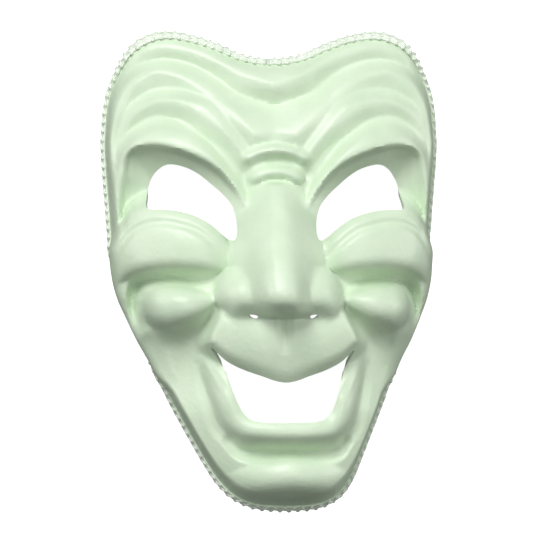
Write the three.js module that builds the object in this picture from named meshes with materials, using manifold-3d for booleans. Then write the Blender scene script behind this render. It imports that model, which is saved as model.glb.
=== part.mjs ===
// A laughing theatre mask: one thin moulded shell, with braid glued round its edge.
// It lies face up: +Z points out of the face, +Y to the forehead, +X to the right as it is seen.
import * as THREE from "three";
import { mergeVertices } from "three/addons/utils/BufferGeometryUtils.js";
import Module from "manifold-3d";

// Driving sizes in millimetres.
const MASK_HEIGHT = 230;
const WALL = 1.6;
const BRAID_WIDTH = 6.4;
const BRAID_THICKNESS = 1.7;
const BRAID_EDGE = 1.0;
const BRAID_LIFT = 1.2;
const BRAID_MARGIN = 0.6;
const GLUE_GAP = 0.3;
const SEAM_GAP = 0.4;

// The carving is drawn on a mask this tall, and follows the mask's own height.
const DRAWN_HEIGHT = 230;
const scale = MASK_HEIGHT / DRAWN_HEIGHT;

// How finely the face is cut into facets: columns, rows (by their pitch at a height) and wall rings.
const COLUMNS = 28;
const ROW_PITCH = [[-120, 4.6], [-88, 5.4], [-50, 5.4], [-34, 3.8], [-12, 3.8], [0, 4.4], [24, 4],
  [32, 2.9], [52, 3.1], [70, 5.4], [120, 6]];
const SHOULDER_RINGS = 2;
const CENTRE_CROWDING = 0.18;

// The grid's rows arch over the eyes with the folds: the rise by height, and its share across.
const ARCH_RISE = [[-12, 0], [2, 5], [16, 16], [28, 27], [38, 31], [56, 28], [76, 16], [106, 0]];
const ARCH_SHARE = [[0, 0], [9, 0.02], [14, 0.1], [20, 0.35], [27, 0.61], [35, 0.8], [44, 0.93], [51, 0.99],
  [56, 1], [62, 0.95], [67, 0.8], [71, 0.5], [75, 0.12], [78, 0]];

// Right half of the outline, from the chin round to the notch in the forehead.
const OUTLINE = [[0, -115.2], [15, -113.8], [25, -109], [31.7, -101.9], [38.1, -90.4],
  [49.3, -67.6], [59.7, -44.7], [65.7, -33.3], [70.7, -22], [74.6, -12], [76.8, 0], [78, 24],
  [80.3, 54], [80.3, 66], [79, 80.5], [75.4, 92.3], [70.2, 103.5], [64, 110.2], [56, 113.8],
  [46.9, 114.6], [35.5, 112.4], [24, 108.3], [12.4, 103.2], [0, 101.8]];
const CHIN_CORNER = -105;
const CROWN_CORNER = 106;
const SEAM_X = -3;

// The chin swings to the right below SWAY_TOP, by SWAY at SWAY_REACH further down.
const SWAY = 7.5;
const SWAY_TOP = 20;
const SWAY_REACH = 130;
const SWAY_POWER = 1.6;

// Broad form by height: middle line, shoulder, and the half width where the shoulder is reached.
const MIDDLE_LINE = [[-118, 12], [-113, 20], [-109, 29], [-105, 36], [-98, 39], [-82, 41],
  [-70, 43.5], [-60, 45.5], [-40, 47.5], [-20, 46.5], [0, 45], [20, 43.5], [40, 43.5], [60, 44.5],
  [75, 43], [84, 39], [91, 35], [98, 32], [106, 29], [118, 25]];
const SHOULDER = [[-118, 12], [-108, 20], [-95, 26], [-75, 26], [-55, 22], [-30, 23], [-10, 24],
  [20, 24], [50, 24], [80, 23], [100, 21], [118, 19]];
const HALF_WIDTH = [[-120, 24], [-100, 34], [-80, 44], [-50, 57], [-20, 71], [10, 78], [60, 80.5],
  [120, 80.5]];
const CROWN_POWER = 2.4;

// The features stand a little to the right of the outline's middle: how far, by height.
const LEAN = [[-118, 1], [-95, 2.2], [-75, 2.4], [-45, 2.6], [-21, 2.6], [-10, 1.3], [12, 1.2],
  [30, 1.4], [45, 1.2], [60, 0.9], [80, 0.8], [100, 0], [118, 0]];

// The wall round the face: its run inwards, the height of its rim, and how upright it ends.
const WALL_RUN = [[-118, 9], [-106, 7], [-90, 3.6], [-60, 3], [-40, 4], [-10, 5], [20, 5],
  [60, 4.2], [85, 7], [100, 10], [118, 12]];
const RIM_HEIGHT = [[-118, 12], [-108, 11], [-90, 4], [-70, 0.5], [-52, 0], [58, 0], [80, 1.5],
  [92, 5], [102, 11], [110, 15], [118, 17]];
const RIM_ANGLE = [[-118, 35], [-100, 45], [-80, 65], [-60, 80], [0, 88], [60, 84], [85, 60],
  [100, 40], [118, 30]];
const NOTCH_LIFT = 12;
const NOTCH_WIDTH = 26;
const CHEEK_OVERHANG = [[-60, 0], [-48, 2.5], [-30, 5], [-4, 5], [8, 2.5], [20, 0]];

// Strokes of [x, y, half width on the left of its way, half width on the right, height].
// A hollow has a negative height.
const FOREHEAD_CREASES = [
  [[-8, 79.3, 11, 16, -11], [0, 78.6, 11, 16, -12], [16.7, 84, 10.5, 11, -9.5],
    [26.2, 91, 9.5, 8, -8], [35.8, 96.8, 9, 7, -7], [45.3, 99.8, 9, 6.5, -6.5],
    [54.8, 100, 9.5, 6.5, -6], [61.9, 97.4, 9.5, 6.5, -6], [68.1, 92.4, 9, 6, -5],
    [72.4, 83.8, 7, 5, -3.8], [75, 73, 5, 4, -2.6], [75.5, 58, 4, 4, -2], [75.5, 40, 4, 4, -1.6],
    [75, 24, 3, 3, 0]],
  [[-9, 59.6, 6, 4, -3], [0, 60.8, 6, 4, -3], [8, 58.8, 6, 4, -3], [12, 57, 6, 4, -3.2],
    [15.6, 62, 6, 5, -3.2], [21.8, 70.3, 6, 5, -2.8], [27.9, 77.4, 6, 5, -2.8],
    [33.6, 82, 6.5, 5, -3.2], [43.1, 85.4, 8, 5.5, -4.4], [50.2, 86, 9, 6, -5.4],
    [57.4, 85, 9.5, 6, -5], [64.6, 80.9, 9, 6, -5], [69.3, 75.7, 7, 5, -4], [72.5, 68, 5, 4, -2.6],
    [73.6, 58, 4, 3, -1.4], [73.6, 42, 4, 3, 0]],
  [[12, 31, 6, 4, -2], [12.9, 33.8, 8, 4, -4.8], [15.4, 38.5, 9, 4.5, -6.6],
    [22.5, 49.5, 10, 4.5, -6.8], [29.2, 58, 9.5, 4.5, -6.4], [36.4, 65, 8, 5, -5.4],
    [43.5, 70.2, 8, 5.5, -5], [50.6, 72.6, 9, 6, -4.6], [57.8, 72.2, 9.5, 6, -5],
    [64.9, 68.3, 9, 6, -5], [69.7, 62.2, 7, 5, -4], [72, 55, 5, 4, -2], [72.4, 45, 4, 3, 0]],
];
const CREASE_ROUNDING = 0.9;
const BROW = [[14.2, 30, 3, 2, 1], [16.6, 36, 5, 2.5, 2.5], [20.6, 41.6, 7, 3, 4],
  [27, 48.2, 9, 3, 5], [34.2, 53, 10, 3, 5.5], [43.7, 57, 11, 3, 6], [51, 59, 11, 3, 6],
  [58, 59.9, 10, 3, 5.5], [65.1, 59, 8, 3, 4.5], [69.6, 55.8, 5, 3, 3], [71, 49, 4, 3, 1.5],
  [70, 38.6, 4, 3, 0.5], [67.8, 29.5, 4, 3, 0]];
const BETWEEN_THE_BROWS = [[-8, 50.5, 9, 9, -2.5], [0, 50.8, 9.5, 9.5, -2.5], [8, 49.8, 9, 9, -2.5],
  [13, 46.5, 6, 6, -2]];
const BROW_ROLLS = [
  [[-9, 55.5, 3.6, 3.2, 3.8], [0, 56.6, 3.6, 3.2, 3.8], [9, 55.4, 3.6, 3.2, 3.8],
    [13, 52.8, 3.2, 3, 3]],
  [[-7, 46.1, 3.8, 3.6, 4.2], [0, 47, 3.8, 3.6, 4.2], [7, 46, 3.8, 3.6, 4.2],
    [10.5, 43.8, 3.4, 3.2, 3.4]],
];
const PAD_HOLLOW = [[28, -4, 3, 3, -2], [36, -4, 5, 5, -5], [44, -3.4, 6, 6, -6.5],
  [52, -2.8, 6, 6, -7.5], [60, -3.6, 6, 7, -8.5], [65, -7.6, 5, 7, -9],
  [66.4, -14.5, 4.5, 7, -9], [65.6, -21, 4.5, 7, -8.5], [63.4, -28, 5, 7, -7],
  [61, -35, 5, 6.5, -5.5], [57, -46, 5, 6, -2.5], [52, -57, 5, 5, 0]];
const UNDER_APPLE = [[63, -30, 7, 7, 0], [58, -34, 16, 12, -4], [52, -36, 30, 14, -7.5],
  [44, -36, 34, 15, -8], [37.5, -32, 24, 12, -7], [32, -26, 10, 9, -6.5]];
const SMILE_FOLD = [[50, -5, 2.5, 2.5, 0.5], [57, -6.6, 3, 3, 2.4], [62.3, -11.4, 3.4, 3.4, 4],
  [64.2, -18, 3.6, 3.6, 4.6], [63.4, -25, 4, 4, 4.2], [60.6, -33, 4.5, 4.5, 2.8],
  [57, -42, 5, 5, 1.4], [51.5, -54, 5, 5, 0]];
const CHEEK_PAD = [[21, 3.5, 3.5, 3.5, 1.5], [25.5, 5, 10, 6, 5.5], [31, 6.2, 15, 7.5, 8.5],
  [39, 7.2, 20, 7.8, 10.5], [50, 8, 23, 8.2, 11.5], [60, 7.4, 24, 8.4, 11.5], [66, 6, 18, 8, 10.5],
  [72, 4, 14, 8, 7], [78, 1.5, 9, 9, 2]];
const EYELID = [[24, 7.5, 2.5, 2.5, -0.6], [30, 13, 2.5, 2.5, -1.2], [37, 18.5, 2.5, 2.5, -1.4],
  [43.3, 21, 2.5, 2.5, -1.4], [52, 22.8, 2.5, 2.5, -1.4], [60, 22.3, 2.5, 2.5, -1.4],
  [66, 19.5, 2.5, 2.5, -1.6], [70.5, 14.7, 2.5, 2.5, -1.6], [74, 8, 2.5, 2.5, -1.4],
  [77, 0, 2.5, 2.5, -0.8]];
const CHEEK_APPLE = [[31.5, -13.4, 3, 3, 4], [36, -14.2, 5.6, 5.6, 7.5], [42, -15.4, 8.6, 8.6, 11],
  [48, -16.4, 10, 10, 13], [53, -17.2, 10.4, 10.4, 13]];
const PHILTRUM = [[0, -20, 5, 5, -2.5], [0, -30, 4.5, 4.5, -1.6], [0, -40, 4, 4, 0]];
const LOWER_LIP = [[36.8, -39, 2.5, 2.5, 0.6], [34.6, -45, 5, 5.5, 2.8], [31.6, -53, 6, 7, 3.8],
  [29, -61, 6.5, 7.5, 4.4], [26, -69, 7, 8, 5], [20.5, -74.8, 6.5, 9, 5.8], [12, -76.3, 6, 9, 6.2],
  [0, -76.6, 6, 9, 6.2], [-12, -76.3, 6, 9, 6.2]];
const ROUND_THE_LIP = [
  [[40, -44, 3, 3, -0.6], [38.5, -54, 4, 4, -1.2], [36, -64, 4.5, 4.5, -1.2],
    [32.5, -74, 5, 5, -1.4], [27, -80, 5, 5, -1.8]],
  [[27, -80.5, 5, 4, -2], [22, -84.5, 6, 4, -5], [12, -85.3, 6.5, 4, -6.5], [0, -85, 5.5, 4, -6.5],
    [-12, -85.3, 6.5, 4, -6.5]],
];
const CHIN_BOSS = [[26, -100, 5, 5, 1.8], [18, -99, 7, 8, 4], [9, -98, 8, 9.5, 5.6],
  [0, -97, 8.5, 10, 6.2], [-9, -98, 8, 9.5, 5.6]];

// The eye socket opens below this line; its depth goes by the distance from the nose.
const SOCKET_EDGE = [[14.2, 30], [16.6, 36], [20.6, 41.6], [27, 48.2], [34.2, 53], [43.7, 57],
  [51, 59], [58, 59.9], [65.1, 59], [69.6, 55.8], [72.5, 51], [74.5, 46]];
const SOCKET_DEPTH = [[13, 0], [17, 5], [21, 8], [27, 10.5], [34, 12.5], [45, 14], [54, 14],
  [61, 13], [66, 12], [70, 9], [73.5, 0], [80, 0]];
const SOCKET_WIDTH = 26;

// The upper lip's edge as [x, y, width of its rounding], and the lip's height by y.
const LIP_EDGE = [[28, -14, 3.2], [29.8, -18, 3.2], [32.4, -23.5, 3.2], [35.6, -30, 3.5],
  [36.6, -34, 4.5], [34.8, -36.8, 5.5], [28, -42.8, 6.5], [20, -47, 7.5], [10, -51, 8.5],
  [0, -53.6, 8.5], [-10, -51, 8.5]];
const LIP_HEIGHT = [[-56, 2.5], [-46, 5], [-36, 7.8], [-28, 9.2], [-22, 8.4], [-17, 5], [-10, -6],
  [0, -30], [120, -60]];

// The nose by height: its ridge, the roundness of the ridge, and the slope of its sides.
const NOSE_RIDGE = [[-26, 58], [-21, 68], [-17, 76], [-13, 79.6], [-7, 79.3], [5, 73.5], [20, 64],
  [32, 55.5], [38, 51.5], [43, 47]];
const NOSE_ROUND = [[-26, 10], [-12, 9], [-4, 8], [5, 7.5], [15, 7], [25, 5.5], [43, 4.5]];
const NOSE_SLOPE = [[-26, 2.6], [-12, 2.8], [-4, 2.3], [5, 1.8], [14, 1.6], [28, 1.5], [43, 1.4]];
const NOSE_ROOT = { y: 40, fall: 2.2 };
const NOSTRIL_WING = { x: 17.4, y: -11, halfWidth: 13, halfHeight: 13, swell: 18 };

// Under the nose: where its underside passes this height, and how steep it is, across the face.
const UNDERSIDE_HEIGHT = 55;
const UNDERSIDE_EDGE = [[0, -22.4], [6, -22.2], [10.5, -21.5], [16, -22], [28, -21.6], [40, -21]];
const UNDERSIDE_SLOPE = [[0, 6], [7, 5], [12, 2.4], [16, 1.4], [28, 1.2], [40, 1.2]];

// Openings of the right half as seen from the front.
const EYE_HOLE = [[49.5, 50.3], [54.5, 48], [58, 43.2], [59.8, 36.5], [60.5, 29.5], [54, 28.9],
  [47.5, 28.3], [40, 26.5], [34.5, 24], [30, 21], [26.5, 18], [23.3, 15.3], [20.3, 14.3],
  [18.9, 17], [18.7, 22], [19.4, 26.5], [21, 31], [25, 36], [30.5, 41], [36, 45.5], [42, 48.7]];
const NOSTRIL = [[11.3, -21.6], [13, -20.7], [15.4, -20.4], [16.4, -21], [15.2, -22], [12.6, -22.4]];
const MOUTH_HALF = [[0, -52.4], [5, -51.6], [10, -49.8], [20, -46.2], [27.7, -42], [34.6, -35.2],
  [31.8, -40.5], [28.6, -45.6], [26.3, -52], [23.6, -60.5], [20.8, -66.4], [17.6, -69.6], [13, -71],
  [6, -71.3], [0, -71.4]];

// Small helpers: smooth minimum and maximum, a smooth step and the bell of a fold's section.
const smoothMax = (a, b, k) => 0.5 * (a + b + Math.hypot(a - b, k));
const smoothMin = (a, b, k) => 0.5 * (a + b - Math.hypot(a - b, k));
const bell = (u, power) => Math.max(1 - u * u, 0) ** power;
const mix = (a, b, t) => a + (b - a) * t;
const mixPoints = (a, b, t) => a.map((value, k) => mix(value, b[k], t));

function smoothStep(from, to, value) {
  const t = THREE.MathUtils.clamp((value - from) / (to - from), 0, 1);
  return t * t * (3 - 2 * t);
}

// A Catmull-Rom spline through points of any number of values.
function spline(points, steps, closed = false) {
  const count = points.length;
  const last = closed ? count : count - 1;
  const beyond = (end, next) => end.map((value, k) => 2 * value - next[k]);
  const result = [];
  for (let i = 0; i < last; i++) {
    const p1 = points[i];
    const p2 = points[(i + 1) % count];
    const p0 = closed || i > 0 ? points[(i - 1 + count) % count] : beyond(p1, p2);
    const p3 = closed || i + 2 < count ? points[(i + 2) % count] : beyond(p2, p1);
    for (let s = 0; s < steps; s++) {
      const t = s / steps;
      result.push(p1.map((v, k) => 0.5 * (2 * v + (p2[k] - p0[k]) * t
        + (2 * p0[k] - 5 * v + 4 * p2[k] - p3[k]) * t * t
        + (3 * v - p0[k] - 3 * p2[k] + p3[k]) * t ** 3)));
    }
  }
  if (!closed) result.push(points[count - 1]);
  return result;
}

// A smooth value by height, from a table of [y, value].
function byHeight(table, steps = 6) {
  const line = spline(table, steps);
  return (y) => {
    if (y <= line[0][0]) return line[0][1];
    for (let i = 1; i < line.length; i++) {
      const [y0, v0] = line[i - 1];
      const [y1, v1] = line[i];
      if (y <= y1) return mix(v0, v1, (y - y0) / (y1 - y0));
    }
    return line.at(-1)[1];
  };
}

// The place on a line nearest to a point: its distance, its side, and the line's values there.
function nearestOn(line, x, y) {
  let nearest = { distance: Infinity };
  for (let i = 1; i < line.length; i++) {
    const [from, to] = [line[i - 1], line[i]];
    const [runX, runY] = [to[0] - from[0], to[1] - from[1]];
    const along = ((x - from[0]) * runX + (y - from[1]) * runY) / (runX ** 2 + runY ** 2);
    const t = THREE.MathUtils.clamp(along, 0, 1);
    const distance = Math.hypot(x - from[0] - t * runX, y - from[1] - t * runY);
    if (distance < nearest.distance) {
      const left = runX * (y - from[1]) > runY * (x - from[0]);
      nearest = { distance, left, values: mixPoints(from, to, t) };
    }
  }
  return nearest;
}

// Relief along a stroke: its section gives the height from the distance and the stroke's values.
function relief(points, section) {
  const line = spline(points, 5);
  return (x, y) => {
    const { distance, left, values } = nearestOn(line, x, y);
    return section(distance, Math.max(left ? values[2] : values[3], 0.1), values[4]);
  };
}

const fold = (points, power = 2) => relief(points, (distance, width, height) => (
  height * bell(distance / width, power)
));

// A sharp fold, deepest on the stroke itself.
const crease = (points) => relief(points, (distance, width, height) => (
  height * (1 - Math.min(Math.hypot(distance, CREASE_ROUNDING) / width, 1)) ** 2
));

// A swelling over a stroke, which dives under the face beyond its edge.
const mound = (points, flatness, power) => relief(points, (distance, width, height) => (
  distance < width ? height * (1 - (distance / width) ** flatness) ** power : 2 * (width - distance)
));

// The hollow that opens under the brow, steepest along its edge.
function socket() {
  const edge = spline(SOCKET_EDGE, 5);
  const depth = byHeight(SOCKET_DEPTH);
  return (x, y) => {
    const { distance, left } = nearestOn(edge, x, y);
    const share = left ? 0 : Math.min(distance / SOCKET_WIDTH, 1);
    const opening = 0.65 * (1 - (1 - share) ** 2.5) + 0.45 * share;
    return -depth(x) * opening * smoothStep(8, 28, y);
  };
}

// The upper lip rises from its edge, and dives under the face outside it.
function upperLip() {
  const edge = spline(LIP_EDGE, 5);
  const height = byHeight(LIP_HEIGHT);
  return (x, y) => {
    const { distance, left, values } = nearestOn(edge, x, y);
    const rounding = 1 - (1 - Math.min(distance / values[2], 1)) ** 2.5;
    return left ? -2 * distance : Math.min(height(y), height(y) * rounding);
  };
}

const form = {
  middle: byHeight(MIDDLE_LINE),
  shoulder: byHeight(SHOULDER),
  halfWidth: byHeight(HALF_WIDTH),
  lean: byHeight(LEAN),
  ridge: byHeight(NOSE_RIDGE),
  round: byHeight(NOSE_ROUND),
  slope: byHeight(NOSE_SLOPE),
  undersideEdge: byHeight(UNDERSIDE_EDGE),
  undersideSlope: byHeight(UNDERSIDE_SLOPE),
  socket: socket(),
  onForehead: [fold(BROW, 1.5), ...FOREHEAD_CREASES.map(crease), fold(BETWEEN_THE_BROWS),
    ...BROW_ROLLS.map((roll) => fold(roll, 1))],
  onCheek: [fold(PAD_HOLLOW), fold(UNDER_APPLE), fold(SMILE_FOLD)],
  upperLip: upperLip(),
  philtrum: fold(PHILTRUM),
  pad: mound(CHEEK_PAD, 2.5, 0.55),
  eyelid: fold(EYELID),
  apple: mound(CHEEK_APPLE, 2.3, 0.6),
  roundTheMouth: [fold(LOWER_LIP, 1.3), ...ROUND_THE_LIP.map((line) => fold(line)),
    fold(CHIN_BOSS, 1)],
};

const sum = (parts, x, y) => parts.reduce((total, part) => total + part(x, y), 0);

// How far the features stand to the right of the outline's middle.
const leaning = (x, y) => form.lean(y) * (1 - Math.min(Math.abs(x) / form.halfWidth(y), 1) ** 6);

// Height of the nose with its wings, joined smoothly to the face that it stands on.
function withNose(base, dome, x, y) {
  const round = form.round(y);
  const root = Math.max(y - NOSE_ROOT.y, 0) * NOSE_ROOT.fall;
  const side = form.ridge(y) - form.slope(y) * (Math.cbrt(x ** 3 + round ** 3) - round) - root;
  const across = (x - NOSTRIL_WING.x) / NOSTRIL_WING.halfWidth;
  const reach = Math.hypot(across, (y - NOSTRIL_WING.y) / NOSTRIL_WING.halfHeight);
  const wing = dome + (reach < 1 ? NOSTRIL_WING.swell * bell(reach, 0.55) : 20 * (1 - reach));
  const under = UNDERSIDE_HEIGHT + (y - form.undersideEdge(x)) * form.undersideSlope(x);
  return smoothMax(base, smoothMin(smoothMax(side, wing, 5), under, 2), 2.5);
}

// Height of the carved face over the flat at a place on it.
function faceHeight(signedX, y) {
  const x = Math.hypot(signedX - leaning(signedX, y), 0.8);
  const share = Math.min(x / form.halfWidth(y), 1.15);
  const dome = mix(form.middle(y), form.shoulder(y), share ** CROWN_POWER);
  let z = dome + form.socket(x, y) + sum(form.onForehead, x, y) + sum(form.onCheek, x, y);
  z = smoothMax(z, dome + form.upperLip(x, y), 1.5) + form.philtrum(x, y);
  z = withNose(z, dome, x, y);
  z = smoothMax(z, dome + form.pad(x, y), 1.5) + form.eyelid(x, y);
  z = smoothMax(z, dome + form.apple(x, y), 1.5);
  return z + sum(form.roundTheMouth, x, y);
}

const sway = (y) => SWAY * (Math.max(SWAY_TOP - y, 0) / SWAY_REACH) ** SWAY_POWER;
const placed = (x, y, z) => new THREE.Vector3(x + sway(y), y, z).multiplyScalar(scale);

// Places along the outline's right half, each with its outward direction.
function outlinePlaces() {
  const line = spline(OUTLINE, 10);
  const lengths = [0];
  for (let i = 1; i < line.length; i++) {
    lengths.push(lengths[i - 1] + Math.hypot(line[i][0] - line[i - 1][0], line[i][1] - line[i - 1][1]));
  }
  const find = (values, wanted) => {
    let i = 1;
    while (i < values.length - 1 && values[i] < wanted) i++;
    const t = THREE.MathUtils.clamp((wanted - values[i - 1]) / (values[i] - values[i - 1]), 0, 1);
    const before = line[Math.max(i - 2, 0)];
    const after = line[Math.min(i + 1, line.length - 1)];
    const run = Math.hypot(after[0] - before[0], after[1] - before[1]);
    return {
      x: mix(line[i - 1][0], line[i][0], t),
      y: mix(line[i - 1][1], line[i][1], t),
      nx: (after[1] - before[1]) / run,
      ny: -(after[0] - before[0]) / run,
      length: mix(lengths[i - 1], lengths[i], t),
    };
  };
  const side = line.slice(0, line.findIndex(([x, y]) => y > CROWN_CORNER) + 1).map(([, y]) => y);
  const atHeight = (y) => find(side, y);
  const atLength = (length) => find(lengths, length);
  return { atHeight, atLength, whole: lengths.at(-1) };
}

// Rows of the grid from the chin corner to the crown corner.
function rowHeights() {
  const pitch = byHeight(ROW_PITCH, 1);
  const rows = [CHIN_CORNER];
  while (rows.at(-1) < CROWN_CORNER) rows.push(rows.at(-1) + pitch(rows.at(-1)));
  const stretch = (CROWN_CORNER - CHIN_CORNER) / (rows.at(-1) - CHIN_CORNER);
  return rows.map((y) => CHIN_CORNER + (y - CHIN_CORNER) * stretch);
}

const columnShare = (i) => {
  const u = i / COLUMNS;
  return u + CENTRE_CROWDING * Math.sin(2 * Math.PI * u) / (2 * Math.PI);
};

// The outline cut into stations: chin edge, right side, crown edge and left side, going round.
function stations() {
  const outline = outlinePlaces();
  const rows = rowHeights();
  const chin = outline.atHeight(CHIN_CORNER).length;
  const crown = outline.whole - outline.atHeight(CROWN_CORNER).length;
  const mirrored = (place) => ({ ...place, x: -place.x, nx: -place.nx });
  const ends = (half, start) => (i) => {
    const across = 2 * columnShare(i) - 1;
    const place = outline.atLength(start + (start ? -1 : 1) * half * Math.abs(across));
    const straight = Math.abs(across) < 1e-9 ? { ...place, x: 0, nx: 0 } : place;
    return across < 0 ? mirrored(straight) : straight;
  };
  const chinPlace = ends(chin, 0);
  const crownPlace = ends(crown, outline.whole);
  const loop = [];
  for (let i = 0; i < COLUMNS; i++) loop.push(chinPlace(i));
  for (let j = 0; j < rows.length - 1; j++) loop.push(outline.atHeight(rows[j]));
  for (let i = COLUMNS; i > 0; i--) loop.push(crownPlace(i));
  for (let j = rows.length - 1; j > 0; j--) loop.push(mirrored(outline.atHeight(rows[j])));
  return { loop, rows };
}

const archRise = byHeight(ARCH_RISE);
const archShare = byHeight(ARCH_SHARE);
const wallRun = byHeight(WALL_RUN);
const rimHeight = byHeight(RIM_HEIGHT);
const rimAngle = byHeight(RIM_ANGLE);
const overhang = byHeight(CHEEK_OVERHANG);

// A place on the wall at a station: share 0 is the edge of the face, share 1 the rim.
function wallPlace({ x, y, nx, ny }, share) {
  const angle = THREE.MathUtils.degToRad(rimAngle(y));
  const turn = angle * share;
  const hang = overhang(y);
  const braidRoom = (GLUE_GAP + BRAID_THICKNESS) / scale;
  const tucked = 1 - smoothStep(0, 2.5, hang);
  const inset = braidRoom * Math.sin(angle) * tucked;
  const swelling = Math.sin(Math.min(1.6 * turn, Math.PI / 2));
  const reach = mix(swelling, Math.sin(turn) / Math.sin(angle), tucked);
  const out = wallRun(y) * (reach - 1) - inset - hang * smoothStep(0.45, 1, share);
  const wallX = x + nx * out;
  const wallY = y + ny * out;
  const notch = NOTCH_LIFT * Math.exp(-((x / NOTCH_WIDTH) ** 2)) * smoothStep(60, 100, y);
  const rim = Math.max(rimHeight(y), 0) + notch;
  const drop = (Math.cos(turn) - Math.cos(angle)) / (1 - Math.cos(angle));
  return [wallX, wallY, mix(rim, faceHeight(wallX, wallY), drop)];
}

// The share at which the wall has risen clear of the braid.
function shareOverBraid(station) {
  const rim = wallPlace(station, 1);
  const wanted = (BRAID_LIFT + BRAID_WIDTH + BRAID_MARGIN) / scale;
  const steps = 60;
  for (let k = 1; k < steps; k++) {
    const place = wallPlace(station, 1 - k / steps);
    if (Math.hypot(...place.map((value, axis) => value - rim[axis])) > wanted) return 1 - k / steps;
  }
  throw new Error("the braid is wider than the wall that it is glued to");
}

// The outer skin: a grid over the face inside rings of wall.
function outerSkin() {
  const { loop, rows } = stations();
  const columns = COLUMNS;
  const rings = rows.length - 1;
  const inner = loop.map((station) => wallPlace(station, 0));
  const chinAt = (i) => inner[i];
  const rightAt = (j) => inner[columns + j];
  const crownAt = (i) => inner[columns + rings + (columns - i)];
  const leftAt = (j) => inner[(2 * columns + rings + (rings - j)) % loop.length];
  const points = [];
  const index = [];
  for (let j = 0; j <= rings; j++) {
    index.push([]);
    const v = (rows[j] - rows[0]) / (rows[rings] - rows[0]);
    for (let i = 0; i <= columns; i++) {
      const u = columnShare(i);
      const low = mixPoints(chinAt(0), chinAt(columns), u);
      const high = mixPoints(crownAt(0), crownAt(columns), u);
      const upDown = mixPoints(chinAt(i), crownAt(i), v);
      const across = mixPoints(leftAt(j), rightAt(j), u);
      const corners = mixPoints(low, high, v);
      const x = upDown[0] + across[0] - corners[0];
      const flatY = upDown[1] + across[1] - corners[1];
      const y = flatY + archRise(flatY) * archShare(Math.abs(x));
      index[j].push(points.length);
      points.push([x, y, faceHeight(x, y)]);
    }
  }
  const border = [];
  for (let i = 0; i < columns; i++) border.push(index[0][i]);
  for (let j = 0; j < rings; j++) border.push(index[j][columns]);
  for (let i = columns; i > 0; i--) border.push(index[rings][i]);
  for (let j = rings; j > 0; j--) border.push(index[j][0]);
  const quads = [];
  for (let j = 0; j < rings; j++) {
    for (let i = 0; i < columns; i++) {
      const quad = [index[j][i], index[j][i + 1], index[j + 1][i + 1], index[j + 1][i]];
      const [x, y] = [0, 1].map((k) => quad.reduce((sum, corner) => sum + points[corner][k] / 4, 0));
      quads.push({ quad, middle: faceHeight(x, y) * scale });
    }
  }
  const walls = [border];
  const overBraid = loop.map(shareOverBraid);
  for (let k = 1; k <= SHOULDER_RINGS + 1; k++) {
    const ring = loop.map((station, s) => {
      const share = k > SHOULDER_RINGS ? 1 : overBraid[s] * k / SHOULDER_RINGS;
      points.push(wallPlace(station, share));
      return points.length - 1;
    });
    const above = walls.at(-1);
    ring.forEach((corner, s) => {
      const next = (s + 1) % ring.length;
      quads.push({ quad: [corner, ring[next], above[next], above[s]] });
    });
    walls.push(ring);
  }
  return { points: points.map((p) => placed(...p)), quads, walls, loop };
}

// Cuts a quad along the diagonal whose middle lies closer to the carved face.
function triangles(points, quads) {
  return quads.flatMap(({ quad: [a, b, c, d], middle = Infinity }) => {
    const miss = (one, two) => Math.abs((points[one].z + points[two].z) / 2 - middle);
    return miss(a, c) <= miss(b, d) ? [[a, b, c], [a, c, d]] : [[b, c, d], [b, d, a]];
  });
}

function cornerNormals(points, faces) {
  const normals = points.map(() => new THREE.Vector3());
  const [ab, ac] = [new THREE.Vector3(), new THREE.Vector3()];
  for (const [a, b, c] of faces) {
    ab.subVectors(points[b], points[a]);
    ac.subVectors(points[c], points[a]);
    ab.cross(ac);
    for (const corner of [a, b, c]) normals[corner].add(ab);
  }
  return normals.map((normal) => normal.normalize());
}

function geometryOf(points, faces) {
  const geometry = new THREE.BufferGeometry();
  const position = points.flatMap((p) => [p.x, p.y, p.z]);
  geometry.setAttribute("position", new THREE.Float32BufferAttribute(position, 3));
  geometry.setIndex(faces.flat());
  return geometry;
}

// The closed shell: the outer skin, an inner skin one wall below it, and a flat rim between.
function closedShell(skin) {
  const { points, quads, walls } = skin;
  const faces = triangles(points, quads);
  const normals = cornerNormals(points, faces);
  const inner = points.map((point, i) => point.clone().addScaledVector(normals[i], -WALL));
  const rim = walls.at(-1);
  rim.forEach((corner, s) => {
    const along = points[rim[(s + 1) % rim.length]].clone().sub(points[rim.at(s - 1)]);
    const inward = new THREE.Vector3(-along.y, along.x, 0).normalize();
    const lean = Math.max(Math.hypot(normals[corner].x, normals[corner].y), 0.5);
    inner[corner] = points[corner].clone().addScaledVector(inward, WALL / lean);
  });
  const count = points.length;
  const inside = faces.map(([a, b, c]) => [count + c, count + b, count + a]);
  const edge = rim.flatMap((a, s) => {
    const b = rim[(s + 1) % rim.length];
    return [[b, a, count + a], [b, count + a, count + b]];
  });
  return geometryOf([...points, ...inner], [...faces, ...inside, ...edge]);
}

// A prism through the whole depth of the mask, to cut one opening.
function cutter(contour) {
  const outline = contour.map(([x, y]) => placed(x + leaning(x, y), y, 0));
  const shape = new THREE.Shape(outline.map((p) => new THREE.Vector2(p.x, p.y)));
  const depth = MASK_HEIGHT;
  return new THREE.ExtrudeGeometry(shape, { depth, bevelEnabled: false }).translate(0, 0, -depth / 4);
}

const mirror = (contour) => contour.map(([x, y]) => [-x, y]);

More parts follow.
